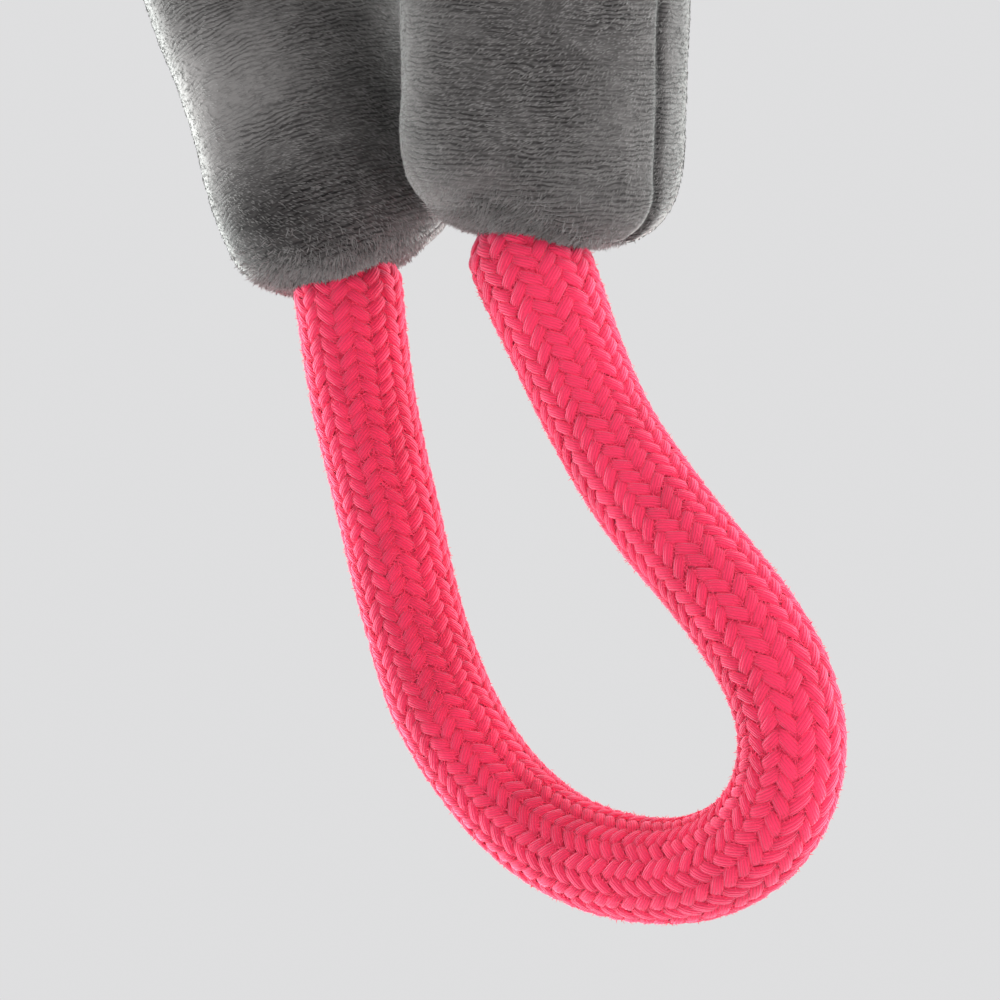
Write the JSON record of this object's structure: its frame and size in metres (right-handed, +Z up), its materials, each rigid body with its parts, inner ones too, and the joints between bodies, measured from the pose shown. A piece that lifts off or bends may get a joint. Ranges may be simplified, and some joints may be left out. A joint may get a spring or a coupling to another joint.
{
  "type": "plush dog tug toy",
  "caption": "Stuffed plush puppy that hangs by its crown, its two feet joined by a thick braided rope loop to tug on.",
  "frame": {"origin": "crown of the head, where a hand holds the toy up", "axes": "+Z up along the hanging toy, the puppy faces -Y, its own left side is +X"},
  "size_m": [0.2544, 0.1747, 0.4641],
  "materials": {
    "grey_pile": "short brushed polyester pile, cool grey",
    "ear_lining": "short smooth pile, dusty pink",
    "polyester_filling": "loose white fibre filling",
    "charcoal_thread": "satin-stitched charcoal thread",
    "pink_cotton": "fluffy bright pink yarn, braided into a tube",
    "label_satin": "plain white satin ribbon",
    "squeaker_plastic": "soft translucent white moulding"
  },
  "bodies": {
    "head": {"head_cover": "grey_pile", "head_stuffing": "polyester_filling", "muzzle_cover": "grey_pile", "muzzle_stuffing": "polyester_filling", "nose": "charcoal_thread", "left_eye": "charcoal_thread", "right_eye": "charcoal_thread"},
    "left_ear": {"left_ear_outer": "grey_pile", "left_ear_lining": "ear_lining"},
    "right_ear": {"right_ear_outer": "grey_pile", "right_ear_lining": "ear_lining"},
    "torso": {"torso_cover": "grey_pile", "torso_stuffing": "polyester_filling", "squeaker_housing": "squeaker_plastic", "squeaker_reed": "squeaker_plastic", "squeaker_bellows": "squeaker_plastic", "care_label": "label_satin"},
    "squeaker_top": {"squeaker_cap": "squeaker_plastic"},
    "tail": {"tail": "grey_pile"},
    "left_arm": {"left_arm_cover": "grey_pile", "left_arm_stuffing": "polyester_filling"},
    "right_arm": {"right_arm_cover": "grey_pile", "right_arm_stuffing": "polyester_filling"},
    "left_leg": {"left_leg_cover": "grey_pile", "left_leg_stuffing": "polyester_filling", "left_rope_tail": "pink_cotton", "left_rope_knot": "pink_cotton", "left_sole_stitching": "charcoal_thread"},
    "right_leg": {"right_leg_cover": "grey_pile", "right_leg_stuffing": "polyester_filling", "right_rope_tail": "pink_cotton", "right_rope_knot": "pink_cotton", "right_sole_stitching": "charcoal_thread"},
    "rope": {"rope_loop": "pink_cotton"}
  },
  "joints": [
    {"name": "neck_nod", "type": "hinge", "parent": "head", "child": "torso", "pos_m": [0, 0, -0.117], "axis": [1, 0, 0], "range_deg": [-20, 20], "stiffness_Nm_per_rad": 0.3},
    {"name": "left_ear_flap", "type": "hinge", "parent": "head", "child": "left_ear", "pos_m": [0.0483, -0.0207, -0.022], "axis": [-0.4946, -0.8691, 0], "range_deg": [0, 70], "stiffness_Nm_per_rad": 0.01},
    {"name": "right_ear_flap", "type": "hinge", "parent": "head", "child": "right_ear", "pos_m": [-0.0483, -0.0207, -0.022], "axis": [-0.4946, 0.8691, 0], "range_deg": [0, 70], "stiffness_Nm_per_rad": 0.01},
    {"name": "left_shoulder", "type": "hinge", "parent": "torso", "child": "left_arm", "pos_m": [0.0695, 0, -0.133], "axis": [-1, 0, 0], "range_deg": [-50, 80], "stiffness_Nm_per_rad": 0.05},
    {"name": "right_shoulder", "type": "hinge", "parent": "torso", "child": "right_arm", "pos_m": [-0.0695, 0, -0.133], "axis": [-1, 0, 0], "range_deg": [-50, 80], "stiffness_Nm_per_rad": 0.05},
    {"name": "left_hip", "type": "hinge", "parent": "torso", "child": "left_leg", "pos_m": [0.0428, 0.005, -0.24], "axis": [-1, 0, 0], "range_deg": [-30, 30], "stiffness_Nm_per_rad": 0.15},
    {"name": "right_hip", "type": "hinge", "parent": "torso", "child": "right_leg", "pos_m": [-0.0428, 0.005, -0.24], "axis": [-1, 0, 0], "range_deg": [-30, 30], "stiffness_Nm_per_rad": 0.15},
    {"name": "rope_swing", "type": "hinge", "parent": "left_leg", "child": "rope", "pos_m": [0.021, 0, -0.3416], "axis": [-1, 0, 0], "range_deg": [-28, 28], "stiffness_Nm_per_rad": 0.2},
    {"name": "tail_wag", "type": "hinge", "parent": "torso", "child": "tail", "pos_m": [0, 0.0489, -0.202], "axis": [0, 0, 1], "range_deg": [-35, 35], "stiffness_Nm_per_rad": 0.01},
    {"name": "squeaker_squeeze", "type": "slide", "parent": "torso", "child": "squeaker_top", "axis": [0, 0, -1], "range_m": [0, 0.008], "stiffness_N_per_m": 150, "deforming": ["squeaker_bellows"]}
  ],
  "couplings": [
    {"joint": "right_hip", "follows": "left_hip", "ratio": 1}
  ]
}
